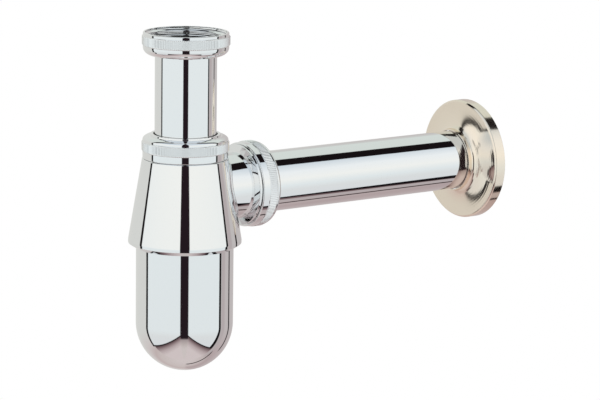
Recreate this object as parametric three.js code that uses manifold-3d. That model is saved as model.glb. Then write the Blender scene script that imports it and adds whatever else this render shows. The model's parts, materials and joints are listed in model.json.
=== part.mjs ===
// Bottle-type P trap for a wash basin, in chromed brass, built as it comes apart on a bench.
//
// Millimetres, +Z up. The origin is the centre of the inlet's sealing plane, the top face of the
// flat gasket that the basin waste is drawn down on to. The inlet pipe hangs from it down -Z, and
// the outlet pipe runs along +X to the wall.
//
// Water falls down the inlet pipe and the dip tube into the cup, rises round the dip tube inside
// the bell, and leaves through the side spigot. Two identical compression unions, each a nut, a
// slip ring and a tapered seal, let the pipes slide and turn in the bell. Threads are plain
// cylinders on their crest diameter.
import * as THREE from "three";
import { mergeVertices } from "three/addons/utils/BufferGeometryUtils.js";
import Module from "manifold-3d";

const wasm = await Module();
wasm.setup();

// ---- Driving dimensions ------------------------------------------------------------------
const SEGMENTS = 36; // flats round each turned piece
const ARC_STEPS = 6; // points along the round of the cup's bottom

// Overall
const OUTLET_DROP = 78.2; // sealing plane to the outlet's axis
const WALL_REACH = 187; // inlet axis to the wall
const BOTTOM_DROP = 95; // outlet axis to the lowest point of the cup
const WATER_SEAL = 50; // depth of water over the dip tube's end

// Pipes
const PIPE_OD = 32;
const PIPE_WALL = 1;
const INLET_INSERT = 36; // inlet pipe's end, below the outlet axis
const PIPE_PAST_SEAL = 6.2; // outlet pipe's inner end beyond its seal
const PAST_WALL = 13; // outlet pipe beyond the wall

// Clearances, each on the radius
const RUN_GAP = 0.4; // pipe in a bore that it slides or turns in
const SEAT_GAP = 0.3; // nested pieces, seals and brazed joints
const THREAD_GAP = 0.25; // male thread in its nut

// Compression union, along its own axis from the nut's open end
const SEAL_SECTION = 2.1; // pipe's surface to the seal's outside
const NECK_WALL = 2.4; // threaded neck round the seal
const SEAL_LENGTH = 6.7;
const NECK_STANDOFF = 0.4; // neck's face to the seal's wide end
const SEAL_COLLAR = 1.5; // length of the seal's wide end
const SEAL_COLLAR_STEP = 1; // how far it stands proud of the seal's barrel
const SEAL_TOE = 0.9; // taper at its narrow end, on the radius
const SEAL_TAPER = 2.9; // length of that taper
const SLIP_RING_THICK = 1;
const SLIP_NUT_HEIGHT = 12.8;
const SLIP_KNURL_START = 4;

// Nuts
const NUT_LIP = 2; // end wall that bears on the slip ring
const NUT_WALL = 1.15; // smooth band outside the thread
const NUT_EDGE = 0.55; // same, at the chamfered open end
const NUT_CHAMFER = 1.7; // length of that chamfer
const KNURL_LENGTH = 4.9;
const KNURL_STEP = 0.45; // knurled band above the smooth one
const NUT_FLAT = 0.8; // ring of flat left round the pipe's hole
const UNION_NUT_HEIGHT = 12;
const UNION_KNURL_START = 1.75;
const UNION_BAND_SINK = 0.4; // union nut's lower band below its upper one

// Inlet union with the basin waste
const FLANGE_THICK = 1.5; // pipe's turned-out top
const FLANGE_STEP = 3.2; // its width outside the pipe
const WASHER_THICK = 0.8; // slip washer under it
const GASKET_THICK = 2.6;

// Bell
const BELL_TOP_ABOVE_SPIGOT = 0.35; // bell's shoulder over the top of the spigot
const BELL_SHOULDER = 1.2; // width of the shoulder outside the thread
const BELL_EDGE = 0.4; // round between shoulder and cone
const BELL_WIDEST_DROP = 25; // outlet axis down to the widest ring
const BELL_LIP_DROP = 29; // outlet axis down to the lower lip
const BELL_SKIRT = 4.1; // widest ring outside the cup
const BELL_ROUND = 1.7; // height of the rounded widest edge
const BELL_WALL = 2.4;

// Dip tube
const DIP_WALL = 0.6;
const DIP_FLANGE = 0.9; // thickness of its turned-out top
const O_RING = 1; // section of the ring under it
const NECK_ROOF = 4.9; // thickness of the metal under the dip tube's seat

// Cup
const CUP_OD = 50.8;
const CUP_WALL = 1.2;
const CUP_BOTTOM_DEPTH = 25.6; // height of its rounded end
const CUP_THREAD = 8.2; // length of the cup's thread
const CUP_RING_WALL = 2.6; // threaded ring at its mouth
const CUP_RING_TAIL = 6; // part of the ring inside the cup
const CUP_GASKET = 2.4;
const CUP_EDGE = 1; // cup's mouth above the bell's lip
const RIM_LEDGE = 2; // thickness of the bell's ledge over the gasket

// Outlet spigot, along +X
const SPIGOT_WALL = 0.9;
const SPIGOT_COLLAR_STEP = 0.4; // collar beyond the thread
const SPIGOT_COLLAR = 1.5; // its length
const SPIGOT_FLARE = 1.2; // length of the hollow flare behind it
const SPIGOT_REACH = 6.4; // bell's cone, under the spigot, to the outlet nut's open end
const NUT_TO_COLLAR = 0.3;

// Wall flange, along +X, spun from sheet
const FLANGE_OD = 65.2;
const FLANGE_SHEET = 0.7;
const COLLAR_LENGTH = 0.6; // straight part of the collar
const COLLAR_FILLET = 7.2; // round from the collar into the dish
const FLANGE_DEPTH = 12.8; // wall to the collar's front edge
const RIDGE_DEPTH = 7.6; // wall to the front of the dish's rim
const RIDGE_INSET = 4; // that ridge inside the outside edge
const RIM_INSET = 1.3; // round between the ridge and the edge
const RIM_DEPTH = 6.6;
const EDGE_DEPTH = 4.4;
const EDGE_INSET = 0.25;
const GRIP_THICK = 3; // rubber ring behind the collar
const GRIP_SECTION = 2.6;

// ---- Sizes worked out from them ----------------------------------------------------------
const pipeR = PIPE_OD / 2;
const boreR = pipeR - PIPE_WALL;
const runR = pipeR + RUN_GAP; // bore that the pipe slides in
const sealR = pipeR + SEAL_SECTION;
const seatR = sealR + SEAT_GAP; // socket round the seal
const threadR = seatR + NECK_WALL;
const nutBoreR = threadR + THREAD_GAP;
const collarR = sealR + SEAL_COLLAR_STEP;
const nutWellR = collarR + SEAT_GAP + 0.2; // well past the thread
const ringR = nutWellR - SEAT_GAP;
const nutR = nutBoreR + NUT_WALL;
const sealTop = SLIP_NUT_HEIGHT - NUT_LIP - SLIP_RING_THICK;
const sealFoot = sealTop - SEAL_LENGTH;
const neckLength = sealTop - SEAL_COLLAR - NECK_STANDOFF; // nut's open end to the neck's face

const dipR = runR + DIP_WALL;
const dipBoreR = dipR + SEAT_GAP;
const dipSeat = sealFoot - DIP_FLANGE - O_RING;

const spigotBoreR = pipeR + SEAT_GAP;
const spigotR = spigotBoreR + SPIGOT_WALL;
const bellTop = spigotR + BELL_TOP_ABOVE_SPIGOT; // above the outlet axis
const inletNutEnd = bellTop + 0.05; // inlet slip nut's open end
const cupR = CUP_OD / 2;
const cupBoreR = cupR + SEAT_GAP; // bell's thread
const widestR = cupR + BELL_SKIRT;
const bellTopR = threadR + BELL_SHOULDER + BELL_EDGE;
const cupMouth = -BELL_LIP_DROP + CUP_EDGE; // top edge of the cup's shell
const cupRingTop = cupMouth + CUP_THREAD;
const cupLedge = cupRingTop + CUP_GASKET;
const cupRingBoreR = cupR - CUP_RING_WALL;
const dipEnd = -boreR - WATER_SEAL;

// Radius of the bell's outer cone at a height above the outlet axis.
function coneR(height) {
  const coneTop = bellTop - BELL_EDGE;
  const slope = (widestR - bellTopR) / (BELL_WIDEST_DROP + coneTop);
  return bellTopR + slope * (coneTop - height);
}

const nutStandoff = coneR(-spigotR) + SPIGOT_REACH; // inlet axis to the outlet nut's open end
const outletInsert = nutStandoff + sealFoot - PIPE_PAST_SEAL; // to the outlet pipe's inner end

// ---- Helpers -----------------------------------------------------------------------------
const BRASS = { color: 0xd8dadc, metalness: 1, roughness: 0.12 };
const RUBBER = { color: 0x1c1c1e, metalness: 0, roughness: 0.8 };
const PLASTIC = { color: 0xe8e6df, metalness: 0, roughness: 0.5 };

// An outline of [radius, height] pairs, in order round the section, turned about Z. It closes on
// itself, or starts and ends on the axis.
function turned(outline) {
  let area = 0;
  outline.forEach(([r, h], i) => {
    const [nextR, nextH] = outline[(i + 1) % outline.length];
    area += r * nextH - nextR * h;
  });
  const ordered = area > 0 ? outline : [...outline].reverse();
  const onAxis = ordered[0][0] === 0 && ordered[ordered.length - 1][0] === 0;
  const path = onAxis ? ordered : [...ordered, ordered[0]];
  const points = path.map(([r, h]) => new THREE.Vector2(r, h));
  return new THREE.LatheGeometry(points, SEGMENTS).rotateX(Math.PI / 2);
}

// The same, with its axis turned from +Z to +X.
function turnedAlongX(outline) {
  return turned(outline).rotateY(Math.PI / 2);
}

// The manifold-3d solid of a closed geometry.
function solidOf(geometry) {
  const bare = geometry.clone();
  bare.deleteAttribute("normal");
  bare.deleteAttribute("uv");
  const merged = mergeVertices(bare, 1e-4);
  return new wasm.Manifold(
    new wasm.Mesh({
      numProp: 3,
      vertProperties: new Float32Array(merged.attributes.position.array),
      triVerts: new Uint32Array(merged.index.array),
    }),
  );
}

// The geometry of a manifold-3d solid.
function geometryOf(solid) {
  const mesh = solid.getMesh();
  const geometry = new THREE.BufferGeometry();
  geometry.setAttribute("position", new THREE.BufferAttribute(mesh.vertProperties, 3));
  geometry.setIndex(new THREE.BufferAttribute(mesh.triVerts, 1));
  return geometry;
}

// A flat or square-edged ring between two radii and two heights.
function ring(innerR, outerR, low, high) {
  return [
    [innerR, low],
    [outerR, low],
    [outerR, high],
    [innerR, high],
  ];
}

// A nut along its own axis, from the open threaded end at 0 to the lip round the pipe at height.
function nutOutline({ height, knurlStart, bandSink, threadLength }) {
  const band = nutR - bandSink;
  const knurlEnd = knurlStart + KNURL_LENGTH;
  const round = height - knurlEnd;
  const holeR = pipeR + RUN_GAP + 0.1;
  const crown = holeR + NUT_FLAT;
  return [
    [nutBoreR, 0],
    [nutBoreR + NUT_EDGE, 0],
    [nutR, NUT_CHAMFER],
    [nutR + KNURL_STEP, knurlStart],
    [nutR + KNURL_STEP, knurlEnd],
    [band, knurlEnd + 0.1],
    [band, knurlEnd + 0.3 * round],
    [crown + 0.68 * (band - crown), knurlEnd + 0.7 * round],
    [crown, height],
    [holeR, height],
    [holeR, height - NUT_LIP],
    [nutWellR, height - NUT_LIP],
    [nutWellR, threadLength],
    [nutBoreR, threadLength],
  ];
}

const slipNutOutline = nutOutline({
  height: SLIP_NUT_HEIGHT,
  knurlStart: SLIP_KNURL_START,
  bandSink: 0,
  threadLength: neckLength + SEAT_GAP,
});

// The tapered rubber seal of a union, in the same heights as its nut.
function sealOutline() {
  const barrelEnd = sealTop - SEAL_COLLAR;
  return [
    [pipeR + SEAT_GAP, sealFoot],
    [sealR - SEAL_TOE, sealFoot],
    [sealR, sealFoot + SEAL_TAPER],
    [sealR, barrelEnd - SEAL_COLLAR_STEP],
    [collarR, barrelEnd],
    [collarR, sealTop],
    [pipeR + SEAT_GAP, sealTop],
  ];
}

// The slip ring between the seal and the nut's lip.
function slipRingOutline() {
  return ring(runR, ringR, sealTop, sealTop + SLIP_RING_THICK);
}

// The outline of the cup's rounded end, inside or outside, from the wall down to the axis.
function roundEnd(radius, depth, startHeight) {
  const points = [];
  for (let i = 0; i <= ARC_STEPS; i += 1) {
    const angle = (i / ARC_STEPS) * (Math.PI / 2);
    points.push([radius * Math.cos(angle), startHeight - depth * Math.sin(angle)]);
  }
  points[ARC_STEPS][0] = 0;
  return points;
}

// ---- Inlet pipe and its union with the basin waste, heights from the sealing plane ---------
const flangeTop = -GASKET_THICK;
const flangeFoot = flangeTop - FLANGE_THICK;
const washerFoot = flangeFoot - WASHER_THICK;
const unionNutFoot = washerFoot - NUT_LIP;
const flangeR = pipeR + FLANGE_STEP;
const inletPipeEnd = -OUTLET_DROP - INLET_INSERT;

function inletTube() {
  return turned([
    [boreR, inletPipeEnd],
    [pipeR, inletPipeEnd],
    [pipeR, flangeFoot],
    [flangeR, flangeFoot],
    [flangeR, flangeTop],
    [boreR, flangeTop],
  ]);
}

function inletGasket() {
  return turned(ring(boreR, flangeR, flangeTop, 0));
}

function unionSlipWasher() {
  return turned(ring(runR, flangeR, washerFoot, flangeFoot));
}

function inletUnionNut() {
  const outline = nutOutline({
    height: UNION_NUT_HEIGHT,
    knurlStart: UNION_KNURL_START,
    bandSink: UNION_BAND_SINK,
    threadLength: UNION_NUT_HEIGHT - NUT_LIP - WASHER_THICK - FLANGE_THICK,
  });
  const open = unionNutFoot + UNION_NUT_HEIGHT;
  return turned(outline.map(([r, h]) => [r, open - h]));
}

// ---- Bell, heights from the outlet axis ----------------------------------------------------
const neckFace = inletNutEnd + neckLength;
const dipSeatHeight = inletNutEnd + dipSeat;

const bellOutside = [
  [bellTopR - BELL_EDGE, bellTop],
  [bellTopR, bellTop - BELL_EDGE],
  [widestR, -BELL_WIDEST_DROP],
  [widestR - 0.3, -BELL_WIDEST_DROP - BELL_ROUND],
  [cupBoreR + SEAT_GAP, -BELL_LIP_DROP],
];

function bellBody() {
  const roof = dipSeatHeight - NECK_ROOF; // underside of the metal that carries the dip tube
  const hollowTop = roof - 2;
  const ledgeTop = cupLedge + RIM_LEDGE;
  const hollowFoot = ledgeTop + 2.4;
  const shell = solidOf(
    turned([
      [seatR + 0.6, neckFace],
      [threadR - 0.6, neckFace],
      [threadR, neckFace - 0.6],
      [threadR, bellTop],
      ...bellOutside,
      [cupBoreR, -BELL_LIP_DROP],
      [cupBoreR, cupLedge],
      [cupRingBoreR, cupLedge],
      [cupRingBoreR, ledgeTop],
      [coneR(hollowFoot) - BELL_WALL, hollowFoot],
      [coneR(hollowTop) - BELL_WALL, hollowTop],
      [dipBoreR, roof],
      [dipBoreR, dipSeatHeight],
      [seatR, dipSeatHeight],
      [seatR, neckFace - 0.6],
    ]),
  );
  const bore = new THREE.CylinderGeometry(boreR, boreR, widestR, SEGMENTS);
  bore.rotateZ(Math.PI / 2).translate(dipR + widestR / 2, 0, 0);
  return geometryOf(shell.subtract(solidOf(bore)));
}

function dipTube() {
  const seat = dipSeatHeight + O_RING;
  return turned([
    [runR, dipEnd],
    [dipR, dipEnd],
    [dipR, seat],
    [seatR - SEAT_GAP, seat],
    [seatR - SEAT_GAP, seat + DIP_FLANGE],
    [runR, seat + DIP_FLANGE],
  ]);
}

function dipTubeORing() {
  return turned(ring(dipBoreR, seatR - 0.1, dipSeatHeight, dipSeatHeight + O_RING));
}

// ---- Cup -----------------------------------------------------------------------------------
function cupShell() {
  const bend = -BOTTOM_DROP + CUP_BOTTOM_DEPTH;
  const innerR = cupR - CUP_WALL;
  const outside = roundEnd(cupR, CUP_BOTTOM_DEPTH, bend);
  const inside = roundEnd(innerR, CUP_BOTTOM_DEPTH - CUP_WALL, bend);
  return turned([...outside.reverse(), [cupR, cupMouth], [innerR, cupMouth], ...inside]);
}

function cupThreadRing() {
  const tailR = cupR - CUP_WALL - SEAT_GAP;
  return turned([
    [cupRingBoreR, cupMouth - CUP_RING_TAIL],
    [tailR, cupMouth - CUP_RING_TAIL],
    [tailR, cupMouth],
    [cupR, cupMouth],
    [cupR, cupRingTop],
    [cupRingBoreR, cupRingTop],
  ]);
}

function cupGasket() {
  return turned(ring(cupRingBoreR, cupR, cupRingTop, cupLedge));
}

// ---- Outlet, distances along +X from the inlet axis ------------------------------------------
function outletSpigot() {
  const face = nutStandoff + neckLength;
  const collarEnd = nutStandoff - NUT_TO_COLLAR;
  const collarStart = collarEnd - SPIGOT_COLLAR;
  const collar = threadR + SPIGOT_COLLAR_STEP;
  const flareStart = collarStart - SPIGOT_FLARE;
  const sealSeat = nutStandoff + sealFoot;
  const tube = solidOf(
    turnedAlongX([
      [spigotBoreR, 0],
      [spigotR, 0],
      [spigotR, flareStart],
      [spigotR + 0.3 * (collar - spigotR), flareStart + 0.7 * SPIGOT_FLARE],
      [collar, collarStart],
      [collar, collarEnd],
      [threadR, collarEnd],
      [threadR, face - 0.6],
      [threadR - 0.6, face],
      [seatR + 0.6, face],
      [seatR, face - 0.6],
      [seatR, sealSeat],
      [spigotBoreR, sealSeat],
    ]),
  );
  // The foot is saddled to sit on the bell's outside.
  const clear = bellOutside.map(([r, h]) => [r + SEAT_GAP, h]);
  const below = -BELL_LIP_DROP - BELL_ROUND;
  const above = bellTop + BELL_ROUND;
  const saddle = solidOf(turned([[0, above], [clear[0][0], above], ...clear, [0, below]]));
  return geometryOf(tube.subtract(saddle));
}

function outletTube() {
  return turnedAlongX(ring(boreR, pipeR, outletInsert, WALL_REACH + PAST_WALL));
}

// The wall flange's outside as [radius, distance in front of the wall], from the collar's edge.
function flangeOutside(offset) {
  const collarOutR = pipeR + SEAT_GAP + FLANGE_SHEET;
  const edgeR = FLANGE_OD / 2;
  const filletStart = FLANGE_DEPTH - COLLAR_LENGTH;
  const fillet = [0, 1, 2, 3].map((i) => {
    const angle = (i / 3) * (Math.PI / 2);
    const r = COLLAR_FILLET + offset;
    return [
      collarOutR + COLLAR_FILLET - r * Math.cos(angle),
      filletStart - r * Math.sin(angle),
    ];
  });
  return [
    [collarOutR - offset, FLANGE_DEPTH],
    ...fillet,
    [edgeR - RIDGE_INSET, RIDGE_DEPTH - offset],
    [edgeR - RIM_INSET - 0.7 * offset, RIM_DEPTH - 0.7 * offset],
    [edgeR - EDGE_INSET - offset, EDGE_DEPTH],
    [edgeR - offset, 0],
  ];
}

function wallFlange() {
  const outline = [...flangeOutside(0), ...flangeOutside(FLANGE_SHEET).reverse()];
  return turnedAlongX(outline.map(([r, depth]) => [r, WALL_REACH - depth]));
}

function flangeGripRing() {
  const valley = FLANGE_DEPTH - COLLAR_LENGTH - COLLAR_FILLET - FLANGE_SHEET;
  const start = WALL_REACH - valley + SEAT_GAP;
  const innerR = pipeR + SEAT_GAP;
  return turnedAlongX(ring(innerR, innerR + GRIP_SECTION, start, start + GRIP_THICK));
}

// ---- Assembly ------------------------------------------------------------------------------
// Each piece is [name, material, geometry]. `lift` moves a geometry along one axis.
const lift = (geometry, axis, distance) =>
  geometry.translate(axis === "x" ? distance : 0, 0, axis === "z" ? distance : 0);

const aboutInlet = [
  ["inlet_tube", BRASS, inletTube()],
  ["inlet_gasket", RUBBER, inletGasket()],
  ["union_slip_washer", PLASTIC, unionSlipWasher()],
  ["inlet_union_nut", BRASS, inletUnionNut()],
];

const aboutOutletAxis = [
  ["bell_body", BRASS, bellBody()],
  ["dip_tube", BRASS, dipTube()],
  ["dip_tube_o_ring", RUBBER, dipTubeORing()],
  ["inlet_cone_seal", RUBBER, lift(turned(sealOutline()), "z", inletNutEnd)],
  ["inlet_slip_ring", PLASTIC, lift(turned(slipRingOutline()), "z", inletNutEnd)],
  ["inlet_slip_nut", BRASS, lift(turned(slipNutOutline), "z", inletNutEnd)],
  ["cup_gasket", RUBBER, cupGasket()],
  ["cup_thread_ring", BRASS, cupThreadRing()],
  ["cup_shell", BRASS, cupShell()],
  ["outlet_spigot", BRASS, outletSpigot()],
  ["outlet_cone_seal", RUBBER, lift(turnedAlongX(sealOutline()), "x", nutStandoff)],
  ["outlet_slip_ring", PLASTIC, lift(turnedAlongX(slipRingOutline()), "x", nutStandoff)],
  ["outlet_slip_nut", BRASS, lift(turnedAlongX(slipNutOutline), "x", nutStandoff)],
  ["outlet_tube", BRASS, outletTube()],
  ["wall_flange", BRASS, wallFlange()],
  ["flange_grip_ring", RUBBER, flangeGripRing()],
];

// A group of named meshes.
function groupOf(pieces) {
  const group = new THREE.Group();
  for (const [name, finish, geometry] of pieces) {
    const mesh = new THREE.Mesh(geometry, new THREE.MeshStandardMaterial(finish));
    mesh.name = name;
    group.add(mesh);
  }
  return group;
}

const trap = new THREE.Group();
const body = groupOf(aboutOutletAxis);
body.position.z = -OUTLET_DROP;
trap.add(groupOf(aboutInlet), body);

export default trap;
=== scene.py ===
"""Looks of a chromed brass bottle trap for a wash basin.

Every piece is a turned surface: a rounded outline carried round the inlet axis (Z) or the outlet
axis (X). Outlines are in millimetres as (radius, distance along the axis), and each piece takes
its place and its main sizes from the box of the node that it stands for.
"""
import json
import math

import bmesh
import bpy
import numpy as np
from mathutils import Matrix, Vector


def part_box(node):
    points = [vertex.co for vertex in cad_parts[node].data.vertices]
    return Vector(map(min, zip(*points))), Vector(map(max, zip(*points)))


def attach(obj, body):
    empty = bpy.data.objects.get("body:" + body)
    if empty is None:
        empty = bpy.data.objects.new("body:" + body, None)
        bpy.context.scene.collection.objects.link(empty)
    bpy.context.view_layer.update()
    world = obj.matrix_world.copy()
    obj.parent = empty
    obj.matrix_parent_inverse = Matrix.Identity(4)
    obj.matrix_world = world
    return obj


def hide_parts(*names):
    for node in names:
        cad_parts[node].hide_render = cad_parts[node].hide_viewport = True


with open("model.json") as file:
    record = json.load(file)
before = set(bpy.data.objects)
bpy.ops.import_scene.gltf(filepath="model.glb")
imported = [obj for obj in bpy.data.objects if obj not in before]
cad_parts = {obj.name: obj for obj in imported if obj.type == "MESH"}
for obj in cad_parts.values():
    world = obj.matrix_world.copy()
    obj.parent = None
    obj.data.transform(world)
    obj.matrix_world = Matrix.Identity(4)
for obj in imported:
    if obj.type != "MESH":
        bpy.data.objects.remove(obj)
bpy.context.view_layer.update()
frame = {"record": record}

MM = 0.001
PIPE_STEPS = 192  # columns round a plain turned piece
EDGE = 0.15  # usual broken edge, mm
THREAD_PITCH = 2.309  # G 1 1/4
CUP_PITCH = 2.0
KNURL_TEETH = 140


# ---- Places, from the frame ---------------------------------------------------------------
def span(node, axis):
    """Lowest and highest value of a node along axis 0, 1 or 2, in mm."""
    low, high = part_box(node)
    return low[axis] / MM, high[axis] / MM


def radius(node):
    """Outer radius of a turned node, in mm: half its width along Y."""
    low, high = span(node, 1)
    return (high - low) / 2


outlet_height = sum(span("outlet_tube", 2)) / 2  # Z of the outlet axis
pipe_r = radius("outlet_tube")
bore_r = pipe_r - 1.0


# ---- Shapes -------------------------------------------------------------------------------
def rounded(corners, closed=True, default=EDGE):
    """An outline with its corners rounded.

    A corner is (radius, distance) or (radius, distance, fillet). Each becomes an arc that
    touches both of its sides, one point every 12 degrees, and each straight side keeps a point
    just inside both of its ends, so that shading stays flat along it.
    """
    pts = np.array([c[:2] for c in corners], float)
    fillets = [c[2] if len(c) > 2 else default for c in corners]
    count = len(pts)
    arcs = []
    for i, point in enumerate(pts):
        ends = not closed and i in (0, count - 1)
        to_last, to_next = pts[i - 1] - point, pts[(i + 1) % count] - point
        a, b = np.linalg.norm(to_last), np.linalg.norm(to_next)
        u, v = to_last / a, to_next / b
        turn = math.pi - math.acos(np.clip(u @ v, -1, 1))
        if ends or turn < 0.01 or fillets[i] <= 0:
            arcs.append([point])
            continue
        reach = min(fillets[i] * math.tan(turn / 2), 0.49 * a, 0.49 * b)
        f = reach / math.tan(turn / 2)
        centre = point + (u + v) / np.linalg.norm(u + v) * math.hypot(reach, f)
        start, stop = point + u * reach - centre, point + v * reach - centre
        steps = max(2, math.ceil(turn / math.radians(12)))
        sine = math.sin(turn)
        t = np.linspace(0, 1, steps + 1)[:, None]
        arcs.append(list(centre + (np.sin((1 - t) * turn) * start + np.sin(t * turn) * stop) / sine))
    out = []
    for i, arc in enumerate(arcs):
        out += arc
        if not closed and i == count - 1:
            break
        gap = arcs[(i + 1) % count][0] - arc[-1]
        length = np.linalg.norm(gap)
        if length > 0.5:
            out += [arc[-1] + gap * 0.1 / length, arc[-1] + gap * (1 - 0.1 / length)]
    return np.array(out)


def mesh_object(name, points, quads):
    """A smooth mesh from points in mm and rows of four corners, its faces turned outwards."""
    tri = points[quads]
    volume = np.einsum("ij,ij->", np.cross(tri[:, 0], tri[:, 1]), tri[:, 2])
    volume += np.einsum("ij,ij->", np.cross(tri[:, 0], tri[:, 2]), tri[:, 3])
    if volume < 0:
        quads = quads[:, ::-1]
    mesh = bpy.data.meshes.new(name)
    mesh.vertices.add(len(points))
    mesh.vertices.foreach_set("co", (points * MM).astype(np.float32).ravel())
    mesh.loops.add(quads.size)
    mesh.loops.foreach_set("vertex_index", quads.astype(np.int32).ravel())
    mesh.polygons.add(len(quads))
    mesh.polygons.foreach_set("loop_start", np.arange(0, quads.size, 4, dtype=np.int32))
    mesh.polygons.foreach_set("use_smooth", np.ones(len(quads), bool))
    mesh.update(calc_edges=True)
    mesh.validate()
    obj = bpy.data.objects.new(name, mesh)
    bpy.context.scene.collection.objects.link(obj)
    return obj


def turned_grid(name, rr, ss, along="z", poles=False):
    """The surface P(i, j) = axis point at distance s_ij plus r_ij in direction 2 pi j / columns.

    Angles run the right-hand way about the axis. Rows close on themselves, or end on poles.
    """
    rows, columns = rr.shape
    t = np.linspace(0, 2 * np.pi, columns, endpoint=False)[None, :]
    if along == "z":
        grid = np.stack([rr * np.cos(t), rr * np.sin(t), ss], -1)
    else:
        grid = np.stack([ss, -rr * np.sin(t), rr * np.cos(t) + outlet_height], -1)
    i = np.arange(rows - 1 if poles else rows)[:, None]
    j = np.arange(columns)[None, :]
    i2, j2 = (i + 1) % rows, (j + 1) % columns
    quads = np.stack([i * columns + j, i2 * columns + j, i2 * columns + j2, i * columns + j2], -1)
    obj = mesh_object(name, grid.reshape(-1, 3), quads.reshape(-1, 4))
    if poles:
        weld(obj)
    return obj


def turned(name, outline, along="z", relief=None, columns=PIPE_STEPS):
    """An outline carried round an axis. relief(r, s, t) is the height of a knurl or a thread
    above the outline, in mm, at radius r, distance s and angle t."""
    t = np.linspace(0, 2 * np.pi, columns, endpoint=False)[None, :]
    r, s = outline[:, :1] + 0 * t, outline[:, 1:] + 0 * t
    poles = outline[0, 0] == 0 and outline[-1, 0] == 0
    return turned_grid(name, r + relief(r, s, t) if relief else r, s, along, poles)


def weld(obj):
    """Merges points that lie together, and drops the faces that this leaves empty."""
    work = bmesh.new()
    work.from_mesh(obj.data)
    bmesh.ops.remove_doubles(work, verts=work.verts, dist=1e-7)
    work.to_mesh(obj.data)
    work.free()


def window(s, start, stop, ramp):
    """1 between start and stop along the axis, falling smoothly to 0 over the ramp outside."""
    up = np.clip((s - start) / ramp + 1, 0, 1)
    down = np.clip((stop - s) / ramp + 1, 0, 1)
    rise = np.minimum(up, down)
    return rise * rise * (3 - 2 * rise)


def tooth(t):
    """Section of the straight knurl: a trapezium wave round the ring, from -0.5 to 0.5."""
    wave = np.abs(((t * KNURL_TEETH / (2 * np.pi)) % 1) * 2 - 1)
    return (wave * 1.3 - 0.65).clip(-0.5, 0.5)


def groove(s, t, pitch):
    """Section of a right-hand thread: 0 on the male crest and 1 in its groove, a trapezium wave
    of s / pitch - t / 2 pi. A nut's ridges use the same wave, so they lie in the grooves."""
    phase = (s / pitch - t / (2 * np.pi)) % 1
    return np.clip(1.4 * np.abs(2 * phase - 1) - 0.2, 0, 1)


def fine(outline, low, high, near=None, step=0.18):
    """The outline with extra points every step mm on its straight sides between two distances,
    or only on those that lie near a radius."""
    out = []
    for p, q in zip(outline, np.roll(outline, -1, axis=0)):
        out.append(p)
        inside = low - 0.6 < min(p[1], q[1]) and max(p[1], q[1]) < high + 0.6
        beside = near is None or max(abs(p[0] - near), abs(q[0] - near)) < 0.1
        length = np.linalg.norm(q - p)
        if inside and beside and length > 2 * step:
            n = int(length / step)
            out += [p + (q - p) * k / n for k in range(1, n)]
    return np.array(out)


# ---- Materials ----------------------------------------------------------------------------
def linear(code):
    """An sRGB hex colour as linear RGBA."""
    parts = [int(code[i : i + 2], 16) / 255 for i in (0, 2, 4)]
    return [c / 12.92 if c <= 0.04045 else ((c + 0.055) / 1.055) ** 2.4 for c in parts] + [1]


def add(tree, kind, inputs=None, **settings):
    """Adds a node. inputs gives a value or an output socket for each input, by name or index."""
    node = tree.nodes.new(kind)
    for key, value in settings.items():
        setattr(node, key, value)
    for key, value in (inputs or {}).items():
        if isinstance(value, bpy.types.NodeSocket):
            tree.links.new(value, node.inputs[key])
        else:
            node.inputs[key].default_value = value
    return node


def material(name, **surface):
    """A new material, its node tree, its Principled shader and its Object coordinates."""
    made = bpy.data.materials.new(name)
    made.use_nodes = True
    tree = made.node_tree
    shader = tree.nodes["Principled BSDF"]
    for key, value in surface.items():
        shader.inputs[key.replace("_", " ")].default_value = value
    place = tree.nodes.new("ShaderNodeTexCoord").outputs["Object"]
    return made, tree, shader, place


def polished_chrome():
    """Bright chrome plate over buffed brass. It mirrors the room; buffing leaves the faintest
    waves, about 9 mm long, and a haze of fine wiping marks that shifts the gloss a little."""
    made, tree, shader, place = material("polished_chrome_plate", Metallic=1.0)
    shader.inputs["Base Color"].default_value = linear("f1f2f3")
    haze = add(tree, "ShaderNodeTexNoise", {"Vector": place, "Scale": 45, "Detail": 4})
    marks = add(tree, "ShaderNodeTexNoise", {"Vector": place, "Scale": 900, "Detail": 2})
    blend = add(tree, "ShaderNodeMath", {0: haze.outputs[0], 1: marks.outputs[0]})
    rough = add(
        tree,
        "ShaderNodeMapRange",
        {"Value": blend.outputs[0], "From Min": 0.7, "From Max": 1.3, "To Min": 0.018, "To Max": 0.05},
    )
    tree.links.new(rough.outputs[0], shader.inputs["Roughness"])
    waves = add(tree, "ShaderNodeTexNoise", {"Vector": place, "Scale": 110, "Detail": 1})
    bump = add(tree, "ShaderNodeBump", {"Height": waves.outputs[0], "Strength": 0.03, "Distance": 0.0004})
    tree.links.new(bump.outputs[0], shader.inputs["Normal"])
    return made


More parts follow.
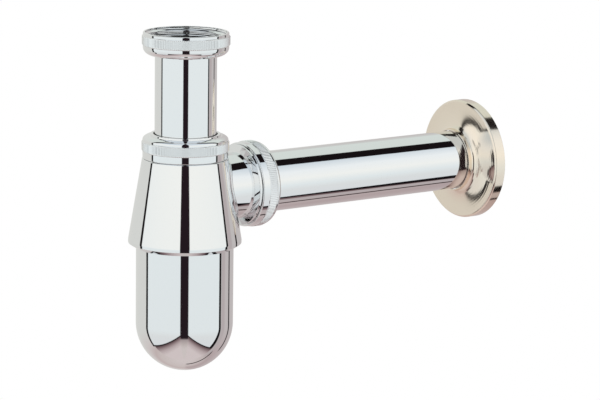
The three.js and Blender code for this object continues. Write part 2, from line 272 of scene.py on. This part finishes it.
def flange_chrome():
    """Chrome plate on a spun steel cover: warmer and softer than on the brass, with the fine
    rings that the spinning tool leaves, about 0.7 mm apart."""
    made, tree, shader, place = material("spun_cover_chrome_plate", Metallic=1.0)
    shader.inputs["Base Color"].default_value = linear("f5e9da")
    centre = add(tree, "ShaderNodeMapping", {"Vector": place, "Location": (0, 0, -outlet_height * MM)})
    rings = add(
        tree,
        "ShaderNodeTexWave",
        {"Vector": centre.outputs[0], "Scale": 220, "Distortion": 0.6, "Detail": 2},
        wave_type="RINGS",
        rings_direction="X",
    )
    haze = add(tree, "ShaderNodeTexNoise", {"Vector": place, "Scale": 60, "Detail": 4})
    rough = add(
        tree,
        "ShaderNodeMapRange",
        {"Value": haze.outputs[0], "From Min": 0.3, "From Max": 0.7, "To Min": 0.07, "To Max": 0.14},
    )
    tree.links.new(rough.outputs[0], shader.inputs["Roughness"])
    bump = add(tree, "ShaderNodeBump", {"Height": rings.outputs[0], "Strength": 0.04, "Distance": 0.0002})
    tree.links.new(bump.outputs[0], shader.inputs["Normal"])
    return made


def machined_brass():
    """Turned brass, not plated: yellow, with the lathe's feed marks every 0.5 mm and a thin
    brown tarnish in patches."""
    made, tree, shader, place = material("machined_brass", Metallic=1.0)
    patches = add(tree, "ShaderNodeTexNoise", {"Vector": place, "Scale": 120, "Detail": 5})
    colour = add(tree, "ShaderNodeMix", {0: patches.outputs[0]}, data_type="RGBA")
    colour.inputs[6].default_value = linear("d9b36a")
    colour.inputs[7].default_value = linear("a98445")
    tree.links.new(colour.outputs[2], shader.inputs["Base Color"])
    feed = add(tree, "ShaderNodeTexWave", {"Vector": place, "Scale": 320, "Detail": 1}, bands_direction="Z")
    bump = add(tree, "ShaderNodeBump", {"Height": feed.outputs[0], "Strength": 0.12, "Distance": 0.0002})
    shader.inputs["Roughness"].default_value = 0.26
    tree.links.new(bump.outputs[0], shader.inputs["Normal"])
    return made


def moulded_rubber():
    """Black EPDM, moulded: matt, with a fine even grain and a grey bloom in places."""
    made, tree, shader, place = material("moulded_epdm_rubber", Roughness=0.72)
    bloom = add(tree, "ShaderNodeTexNoise", {"Vector": place, "Scale": 90, "Detail": 4})
    colour = add(tree, "ShaderNodeMix", {0: bloom.outputs[0]}, data_type="RGBA")
    colour.inputs[6].default_value = linear("1b1b1d")
    colour.inputs[7].default_value = linear("2c2c2e")
    tree.links.new(colour.outputs[2], shader.inputs["Base Color"])
    grain = add(tree, "ShaderNodeTexNoise", {"Vector": place, "Scale": 2500, "Detail": 1})
    bump = add(tree, "ShaderNodeBump", {"Height": grain.outputs[0], "Strength": 0.3, "Distance": 0.0001})
    tree.links.new(bump.outputs[0], shader.inputs["Normal"])
    return made


def natural_nylon():
    """Turned nylon: milky white, waxy, faintly yellow where it is thick."""
    made, tree, shader, place = material("natural_nylon", Roughness=0.42)
    cloud = add(tree, "ShaderNodeTexNoise", {"Vector": place, "Scale": 70, "Detail": 3})
    colour = add(tree, "ShaderNodeMix", {0: cloud.outputs[0]}, data_type="RGBA")
    colour.inputs[6].default_value = linear("efeee8")
    colour.inputs[7].default_value = linear("e3dfd0")
    tree.links.new(colour.outputs[2], shader.inputs["Base Color"])
    return made


CHROME = polished_chrome()
COVER = flange_chrome()
BRASS = machined_brass()
RUBBER = moulded_rubber()
NYLON = natural_nylon()
bodies = {node: body for body, nodes in frame["record"]["behaviour"]["bodies"].items() for node in nodes}


def finish(obj, node, finish_material):
    """Gives a piece its material, and lets it stand for a node on that node's body."""
    obj.data.materials.append(finish_material)
    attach(obj, bodies[node])
    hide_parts(node)
    return obj


# ---- Pipes and flat rings -------------------------------------------------------------------
def inlet_pipe():
    """The upright pipe, its top turned out into a flat flange."""
    low, high = span("inlet_tube", 2)
    flange_r = radius("inlet_tube")
    outline = rounded(
        [
            (bore_r, low, 0.3),
            (pipe_r, low, 0.3),
            (pipe_r, high - 1.5, 0.4),
            (flange_r, high - 1.5, 0.4),
            (flange_r, high, 0.4),
            (bore_r, high, 0.8),
        ]
    )
    finish(turned("inlet_pipe", outline), "inlet_tube", CHROME)


def outlet_pipe():
    """The long pipe to the wall, cut square."""
    start, stop = span("outlet_tube", 0)
    outline = rounded([(bore_r, start, 0.3), (pipe_r, start, 0.3), (pipe_r, stop, 0.3), (bore_r, stop, 0.3)])
    finish(turned("outlet_pipe", outline, "x"), "outlet_tube", CHROME)


def flat_ring(node, inner_r, finish_material, along="z", edge=EDGE):
    """A plain ring that fills its node's box."""
    start, stop = span(node, 2 if along == "z" else 0)
    outer = radius(node)
    outline = rounded([(inner_r, start, edge), (outer, start, edge), (outer, stop, edge), (inner_r, stop, edge)])
    finish(turned(node + "_piece", outline, along, columns=128), node, finish_material)


def cone_seal(node, along):
    """The tapered seal of a union: a wide collar, a straight barrel and a slim toe."""
    start, stop = span(node, 2 if along == "z" else 0)
    collar = radius(node)
    barrel = collar - 1
    outline = rounded(
        [
            (pipe_r + 0.3, start, 0.1),
            (barrel - 0.9, start, 0.3),
            (barrel, start + 2.9, 1),
            (barrel, stop - 2.5, 0.3),
            (collar, stop - 1.5, 0.3),
            (collar, stop, 0.3),
            (pipe_r + 0.3, stop, 0.2),
        ]
    )
    finish(turned(node + "_piece", outline, along, columns=128), node, RUBBER)


# ---- Unions ---------------------------------------------------------------------------------
THREAD_R = 20.8  # crest of the male threads
THREAD_DEPTH = 0.95
NECK_CHAMFER = 0.6
SEAL_SOCKET_R = 18.4
KNURL_DEPTH = 0.55
KNURL_LENGTH = 4.9


def nut(name, node, along, knurl_start, thread_length, plain, lip, step, ridge=0.75, flip=False):
    """A knurled ring nut. u runs from its open threaded end, 0, to its lip round the pipe. After
    the knurl comes a plain band, then a dome, r = lip + a cos t and u = start + b sin t, and a
    fine collar round the hole."""
    start, stop = span(node, 2 if along == "z" else 0)
    height, origin, sign = stop - start, stop if flip else start, -1 if flip else 1
    outer = radius(node)
    band = outer - 0.45
    knurl_end = knurl_start + KNURL_LENGTH
    hole = pipe_r + 0.7
    bore = THREAD_R + 0.25
    dome_start = knurl_end + plain
    dome_turn = [math.radians(a) for a in range(0, 90, 10)]
    dome = [
        (lip + (band - lip) * math.cos(a), dome_start + (height - step - dome_start) * math.sin(a), 0)
        for a in dome_turn
    ]
    collar = [(lip, height - step, 0.1), (lip - 0.2, height, 0.2)] if step else [(lip + 0.3, height, 0.15)]
    outline = rounded(
        [
            (bore, 0, 0.15),
            (band, 0, 0.8),
            (band, knurl_start - 0.15, 0.05),
            (outer - 0.2, knurl_start, 0.12),
            (outer - 0.2, knurl_start + 0.4, 0),
            (outer - 0.2, knurl_end - 0.4, 0),
            (outer - 0.2, knurl_end, 0.12),
            (band, knurl_end + 0.15, 0.05),
            *dome,
            *collar,
            (hole, height, 0.1),
            (hole, height - 2, 0.2),
            (bore - 1.45, height - 2, 0.3),
            (bore - 1.45, thread_length, 0.2),
            (bore, thread_length - 0.5, 0.2),
        ]
    )
    outline = fine(outline, 0, thread_length, bore, 0.22)
    outline[:, 1] = origin + sign * outline[:, 1]

    def relief(r, s, t):
        u = sign * (s - origin)
        teeth = KNURL_DEPTH * tooth(t) * window(u, knurl_start + 0.3, knurl_end - 0.3, 0.25) * (r > outer - 0.5)
        ridges = ridge * groove(s, t, THREAD_PITCH) * window(u, 1.5, thread_length - 1.2, 0.8)
        return teeth - ridges * (np.abs(r - bore) < 0.1)

    finish(turned(name, outline, along, relief, columns=4 * KNURL_TEETH), node, CHROME)


def male_thread(root, mouth, depth=THREAD_DEPTH, crest=THREAD_R, pitch=THREAD_PITCH):
    """Relief of a male thread from its root, where it runs out, to the mouth that it starts at."""

    def relief(r, s, t):
        return -depth * groove(s, t, pitch) * window(s, root + 0.6, mouth + 1, 0.5) * (np.abs(r - crest) < 0.1)

    return relief


# ---- Bell, in heights from the outlet axis --------------------------------------------------
BELL_WALL = 2.4
DIP_BORE_R = 17.3
LEDGE_R = 22.8
CUP_BORE_R = radius("cup_shell") + 0.3
bell_low, bell_high = (z - outlet_height for z in span("bell_body", 2))
bell_r = radius("bell_body")
bell_top = span("inlet_slip_nut", 2)[0] - outlet_height - 0.05
bell_top_r = THREAD_R + 1.6
WIDEST = -25.2
ledge = span("cup_gasket", 2)[1] - outlet_height


def cone_r(height):
    """Radius of the bell's cone at a height: a straight line from its top to its widest ring."""
    return bell_top_r + (bell_r + 0.1 - bell_top_r) * (bell_top - height) / (bell_top - WIDEST)


def bell():
    """The bell: threaded neck, straight cone, rounded skirt with a chamfer to the cup, and a
    hollow inside that follows the cone. The outlet's bore is cut through its side."""
    seat = bell_high - 6.7
    roof = seat - 4.9
    outline = rounded(
        [
            (SEAL_SOCKET_R, bell_high, 0.5),
            (THREAD_R, bell_high, NECK_CHAMFER),
            (THREAD_R, bell_top, 0.2),
            (bell_top_r, bell_top, 0.55),
            (bell_r, WIDEST, 3),
            (bell_r, bell_low + 2.2, 0.2),
            (CUP_BORE_R + 0.4, bell_low, 0.3),
            (CUP_BORE_R, bell_low, 0.2),
            (CUP_BORE_R, ledge, 0.2),
            (LEDGE_R, ledge, 0.2),
            (LEDGE_R, ledge + 2, 0.3),
            (cone_r(ledge + 4.4) - BELL_WALL, ledge + 4.4, 1),
            (cone_r(roof - 2) - BELL_WALL, roof - 2, 2),
            (DIP_BORE_R, roof, 0.4),
            (DIP_BORE_R, seat, 0.15),
            (SEAL_SOCKET_R, seat, 0.3),
        ]
    )
    outline = fine(outline, bell_top, bell_high)
    outline[:, 1] += outlet_height
    relief = male_thread(outlet_height + bell_top, outlet_height + bell_high)
    obj = turned("bell", outline, relief=relief, columns=288)
    cutter = turned("cutter", np.array([(0, DIP_BORE_R), (bore_r, DIP_BORE_R), (bore_r, 40), (0, 40.0)]), "x")
    cut(obj, cutter)
    finish(obj, "bell_body", CHROME)


def cut(obj, cutter):
    """Takes one closed mesh out of another and keeps the result."""
    modifier = obj.modifiers.new("bore", "BOOLEAN")
    modifier.object = cutter
    modifier.solver = "EXACT"
    cutter.data.materials.clear()
    graph = bpy.context.evaluated_depsgraph_get()
    result = bpy.data.meshes.new_from_object(obj.evaluated_get(graph))
    obj.modifiers.clear()
    obj.data = result
    obj.data.materials.clear()
    bpy.data.objects.remove(cutter)


def outlet_spigot():
    """The branch brazed to the bell: a saddle foot with a small fillet, a plain neck, a hollow
    flare and the threaded end. The foot's edge lies on the cone, at X = sqrt(R(z)^2 - y^2), and
    its fillet follows r = neck + f (1 - sin t), X = foot + f (1 - cos t)."""
    face = span("outlet_spigot", 0)[1]
    nut_end = span("outlet_slip_nut", 0)[0]
    neck_r = pipe_r + 1.4
    hole = pipe_r + 0.3
    collar = nut_end - 0.3
    fillet = 0.9
    seat = nut_end + 3.1
    fixed = rounded(
        [
            (neck_r, nut_end - 5.4, 0),
            (neck_r, collar - 2.6, 0.3),
            (THREAD_R + 0.4, collar - 1.5, 0.25),
            (THREAD_R + 0.4, collar, 0.25),
            (THREAD_R, collar, 0.15),
            (THREAD_R, face, NECK_CHAMFER),
            (SEAL_SOCKET_R, face, 0.5),
            (SEAL_SOCKET_R, seat, 0.3),
            (hole, seat, 0.2),
            (hole, seat - 4, 0),
        ],
        closed=False,
    )
    fixed = fine(fixed, collar, face)
    columns = 288
    angle = np.linspace(0, 2 * np.pi, columns, endpoint=False)[None, :]

    def foot(r):
        """Where a point at radius r from the outlet axis meets the bell's cone."""
        y, z = r * np.sin(angle), r * np.cos(angle)
        return np.sqrt(cone_r(z) ** 2 - y**2)

    t = np.radians(np.arange(0, 91, 9))[:, None]
    r = neck_r + fillet * (1 - np.sin(t)) + 0 * angle
    s = foot(r) + fillet * (1 - np.cos(t))
    r_out = fixed[:, :1] + 0 * angle
    s_out = fixed[:, 1:] + 0 * angle
    r_foot = np.array([[hole], [neck_r + fillet]]) + 0 * angle
    s_foot = foot(r_foot) - 0.4
    rr = np.vstack([r_foot, r, r_out])
    ss = np.vstack([s_foot, s, s_out])
    rr = rr + male_thread(collar, face)(rr, ss, angle) * (ss > collar - 0.1)
    finish(turned_grid("outlet_branch", rr, ss, "x"), "outlet_spigot", CHROME)


def dip_tube():
    """The thin tube that carries the water down into the cup, flanged at its top."""
    low, high = span("dip_tube", 2)
    flange = radius("dip_tube")
    inner = pipe_r + 0.4
    outline = rounded(
        [
            (inner, low, 0.1),
            (inner + 0.6, low, 0.2),
            (inner + 0.6, high - 0.9, 0.3),
            (flange, high - 0.9, 0.2),
            (flange, high, 0.3),
            (inner, high, 0.4),
        ]
    )
    finish(turned("dip_pipe", outline), "dip_tube", BRASS)


# ---- Cup ------------------------------------------------------------------------------------
CUP_WALL = 1.2


def cup():
    """The cup: a straight wall down to a half-ellipse, x = r cos a, z = depth sin a."""
    low, high = span("cup_shell", 2)
    outer = radius("cup_shell")
    depth = 25.6
    a = np.radians(np.linspace(-90, 0, 46))[:, None]

    def end(r, d):
        arc = np.hstack([r * np.cos(a), low + depth + d * np.sin(a)])
        arc[0, 0] = 0
        return arc

    outside, inside = end(outer, depth), end(outer - CUP_WALL, depth - CUP_WALL)
    mouth = rounded(
        [outside[-1], (outer, high, 0.2), (outer - CUP_WALL, high, 0.2), inside[-1]],
        closed=False,
    )
    outline = np.vstack([outside[:-1], mouth, inside[::-1][1:]])
    finish(turned("cup", outline, columns=256), "cup_shell", CHROME)


def cup_ring():
    """The threaded ring brazed into the cup's mouth."""
    low, high = span("cup_thread_ring", 2)
    mouth = span("cup_shell", 2)[1]
    crest = radius("cup_thread_ring")
    tail = crest - CUP_WALL - 0.3
    outline = rounded(
        [
            (LEDGE_R, low, 0.2),
            (tail, low, 0.2),
            (tail, mouth, 0.1),
            (crest, mouth, 0.15),
            (crest, high, 0.5),
            (LEDGE_R, high, 0.2),
        ]
    )
    outline = fine(outline, mouth, high)
    relief = male_thread(mouth, high, 0.7, crest, CUP_PITCH)
    finish(turned("cup_ring", outline, relief=relief), "cup_thread_ring", BRASS)


# ---- Wall flange, in depths in front of the wall --------------------------------------------
SHEET = 0.7


def wall_flange():
    """The cover spun from sheet: a collar that flares like a trumpet into the face, which rises
    slightly to a rounded rim. The inside follows the outside, one sheet behind."""
    front, wall = span("wall_flange", 0)
    depth = wall - front
    collar = pipe_r + 0.3 + SHEET
    edge = radius("wall_flange")
    face = 6.5
    wide, deep = 13.2, depth - 1.8 - face

    def flare(inset):
        """Quarter ellipse from the collar to the face, on the sheet's inside at an inset."""
        turns = [math.radians(a) for a in range(0, 91, 6)]
        return [
            (collar + wide - (wide + inset) * math.cos(a), face + deep - (deep + inset) * math.sin(a), 0)
            for a in turns
        ]

    outside = [
        (collar, depth, 0.1),
        *flare(0),
        (edge - 0.9, face, 0.7),
        (edge, face - 0.8, 0.7),
        (edge, 0, 0.15),
    ]
    inside = [
        (edge - SHEET, 0, 0.15),
        (edge - SHEET, face - 1.1, 0.3),
        (edge - 1.3, face - SHEET, 0.3),
        *flare(SHEET)[::-1],
        (collar - SHEET, depth, 0.1),
    ]
    outline = rounded(outside + inside)
    outline[:, 1] = wall - outline[:, 1]
    finish(turned("wall_cover", outline, "x", columns=256), "wall_flange", COVER)


# ---- Everything in place --------------------------------------------------------------------
inlet_pipe()
outlet_pipe()
bell()
outlet_spigot()
dip_tube()
cup()
cup_ring()
wall_flange()
nut("union_nut", "inlet_union_nut", "z", 1.75, 7.7, 1.3, 17.2, 0, ridge=1.1, flip=True)
nut("inlet_nut", "inlet_slip_nut", "z", 4, 8.2, 0.8, 18.4, 0.9)
nut("outlet_nut", "outlet_slip_nut", "x", 4, 8.2, 0.8, 18.4, 0.9)
cone_seal("inlet_cone_seal", "z")
cone_seal("outlet_cone_seal", "x")
flat_ring("inlet_gasket", bore_r, RUBBER, edge=0.3)
flat_ring("union_slip_washer", pipe_r + 0.4, NYLON)
flat_ring("inlet_slip_ring", pipe_r + 0.4, NYLON)
flat_ring("outlet_slip_ring", pipe_r + 0.4, NYLON, "x")
flat_ring("dip_tube_o_ring", DIP_BORE_R, RUBBER, edge=0.4)
flat_ring("cup_gasket", LEDGE_R, RUBBER, edge=0.3)
flat_ring("flange_grip_ring", pipe_r + 0.3, RUBBER, "x", edge=0.8)


# ---- Camera -----------------------------------------------------------------------------------
CAMERA_AZIMUTH = -33.07  # degrees from -Y, about Z
CAMERA_HEIGHT = 11.04  # degrees above level
CAMERA_DISTANCE = 1.52387  # from where the two axes cross
CAMERA_ROLL = 0.36
CAMERA_PAN = -2.2406
CAMERA_TILT = 0.1773
SENSOR = 36
LENS = 176.12


def turned_pair(a, b, degrees):
    """Two axes turned in their own plane, the first towards the second."""
    c, s = math.cos(math.radians(degrees)), math.sin(math.radians(degrees))
    return a * c + b * s, b * c - a * s


az, el = math.radians(CAMERA_AZIMUTH), math.radians(CAMERA_HEIGHT)
back = Vector((math.sin(az) * math.cos(el), -math.cos(az) * math.cos(el), math.sin(el)))
right = Vector((math.cos(az), math.sin(az), 0))
up = back.cross(right)
crossing = Vector((0, 0, outlet_height * MM))
place = crossing + back * CAMERA_DISTANCE
right, up = turned_pair(right, up, CAMERA_ROLL)
up, forward = turned_pair(up, -back, CAMERA_TILT)
right, forward = turned_pair(right, forward, CAMERA_PAN)
lens = bpy.data.cameras.new("camera")
lens.sensor_width = SENSOR
lens.lens = LENS
lens.clip_start = 0.01
camera = bpy.data.objects.new("camera", lens)
bpy.context.scene.collection.objects.link(camera)
camera.matrix_world = Matrix(
    [[*row, p] for row, p in zip(zip(right, up, -forward), place)] + [[0, 0, 0, 1]]
)
bpy.context.scene.camera = camera


# ---- Studio -----------------------------------------------------------------------------------
def studio():
    """A white tent round the object, by direction: two white front panels with a slit between
    them for the lens, their dark edges, pale cloth behind, a dark gap across the top and a pale
    floor, shaded where the panels stand near it. Heights and azimuths are in degrees, and the
    azimuth is 0 towards the lens and grows to its right."""
    world = bpy.data.worlds.new("studio")
    bpy.context.scene.world = world
    world.use_nodes = True
    tree = world.node_tree
    tree.nodes.clear()
    direction = tree.nodes.new("ShaderNodeTexCoord").outputs["Generated"]
    level = Vector((back.x, back.y, 0)).normalized()
    side = Vector((math.cos(az), math.sin(az), 0))

    def math_node(operation, *values):
        return add(tree, "ShaderNodeMath", dict(enumerate(values)), operation=operation).outputs[0]

    def along(axis):
        return add(tree, "ShaderNodeVectorMath", {0: direction, 1: axis}, operation="DOT_PRODUCT").outputs["Value"]

    f, s, h = along(level), along(side), along((0, 0, 1))
    azimuth = math_node("DEGREES", math_node("ARCTAN2", s, f))
    height = math_node("DEGREES", math_node("ARCSINE", h))
    over = math_node("DEGREES", math_node("ARCTAN2", h, f))

    def band(value, low, high, soft=0.6):
        rise = add(tree, "ShaderNodeMapRange", {"Value": value, "From Min": low - soft, "From Max": low + soft})
        fall = add(tree, "ShaderNodeMapRange", {"Value": value, "From Min": high + soft, "From Max": high - soft})
        return math_node("MULTIPLY", rise.outputs[0], fall.outputs[0])

    def mixed_colour(base, colour, *masks):
        mask = masks[0]
        for other in masks[1:]:
            mask = math_node("MULTIPLY", mask, other)
        return add(tree, "ShaderNodeMix", {0: mask, 6: base, 7: colour}, data_type="RGBA").outputs[2]

    def paint(base, code, *masks):
        return mixed_colour(base, linear(code), *masks)

    def ramp(value, low, high, *stops):
        """Colour of a value that runs from low to high, from pairs of a value and a code."""
        place = add(tree, "ShaderNodeMapRange", {"Value": value, "From Min": low, "From Max": high}).outputs[0]
        node = add(tree, "ShaderNodeValToRGB", {0: place})
        marks = node.color_ramp.elements
        while len(marks) < len(stops):
            marks.new(0.5)
        for mark, (at, code) in zip(marks, stops):
            mark.position = (at - low) / (high - low)
            mark.color = linear(code)
        return node.outputs[0]

    def panel_side(angle, drop):
        """How far a direction lies above the lower edge of a panel that faces an azimuth."""
        facing = level * math.cos(math.radians(angle)) + side * math.sin(math.radians(angle))
        return math_node("MULTIPLY_ADD", along(facing), drop, h)

    size = math_node("ABSOLUTE", azimuth)
    leaning = math_node("MULTIPLY_ADD", height, -0.18, azimuth)
    leaning_back = math_node("MULTIPLY_ADD", height, 0.2, azimuth)
    left_edge, right_edge = panel_side(-75, 0.9), panel_side(78, 1.017)
    edge = math_node("MAXIMUM", left_edge, right_edge)

    cloth = ramp(
        height, -90, 90,
        (-80, "d8cdcb"), (-56, "cfc3c0"), (-48, "c8b8b6"), (-38, "d4cbc9"),
        (-20, "dadad6"), (20, "e0e2de"), (60, "dce3de"),
    )  # fmt: skip
    grey_cloth = ramp(
        height, -90, 90,
        (-78, "d8cdcb"), (-62, "ccbfbd"), (-52, "b8a7a7"), (-38, "c0b2b2"),
        (-10, "c6c0bf"), (15, "cac6c4"), (40, "dce3de"),
    )  # fmt: skip
    look = mixed_colour(cloth, grey_cloth, band(azimuth, 99, 178, 2))
    look = paint(look, "bbb1b1", band(azimuth, 98, 111, 2), band(height, -58, 25, 6))
    look = paint(look, "262022", band(leaning_back, 125, 131), band(height, -38, 70, 2))
    look = paint(look, "2a2224", band(over, -110.5, -107), band(azimuth, 98, 172, 3), band(height, -80, -48, 2))

    floor_look = ramp(
        edge, -0.6, 0,
        (-0.5, "d8cbca"), (-0.3, "bdadad"), (-0.2, "9f8d8e"),
        (-0.12, "7d696b"), (-0.055, "503f42"), (-0.042, "140e10"),
    )  # fmt: skip
    slit_floor = ramp(
        height, -60, -28, (-54, "d4cac7"), (-42, "c2b6b3"), (-31, "a69999"), (-29, "2c2022")
    )
    panels = ramp(
        height, -45, 60,
        (-40, "e2e5e7"), (-25, "e4e7e7"), (-11, "ebf2f3"),
        (8, "fcfdf9"), (30, "f6fafb"), (50, "d6e0e7"),
    )  # fmt: skip
    front = band(size, -1, 97, 1)
    look = mixed_colour(look, floor_look, front)
    left = math_node("MULTIPLY", band(azimuth, -97, -9.5), band(left_edge, 0, 9, 0.012))
    right = math_node("MULTIPLY", band(math_node("MAXIMUM", leaning, azimuth), 9.5, 93), band(right_edge, 0, 9, 0.012))
    look = mixed_colour(look, panels, math_node("MAXIMUM", left, right))
    look = mixed_colour(look, slit_floor, band(azimuth, -9, 9.5, 3), band(height, -90, -28, 1))
    look = paint(look, "251b20", band(azimuth, -9, 9.5, 0.8), band(height, -28, 60))
    look = paint(look, "141113", band(leaning, 92.5, 98, 0.3), band(height, -46, 50))
    look = paint(look, "1a1719", band(azimuth, -103, -96.5, 0.3), band(height, -42, 50))
    look = paint(look, "dce3de", band(over, 114.4, 150, 1), band(height, 30, 91))
    look = paint(look, "171214", band(over, 93.5, 114.4), band(height, 30, 91))
    backdrop = add(tree, "ShaderNodeBackground", {"Color": (1, 1, 1, 1), "Strength": 1.0})
    light = add(tree, "ShaderNodeBackground", {"Color": look, "Strength": 1.0})
    seen = tree.nodes.new("ShaderNodeLightPath").outputs["Is Camera Ray"]
    mixed = add(tree, "ShaderNodeMixShader", {0: seen, 1: light.outputs[0], 2: backdrop.outputs[0]})
    add(tree, "ShaderNodeOutputWorld", {"Surface": mixed.outputs[0]})


studio()
bpy.context.scene.view_settings.view_transform = "Standard"
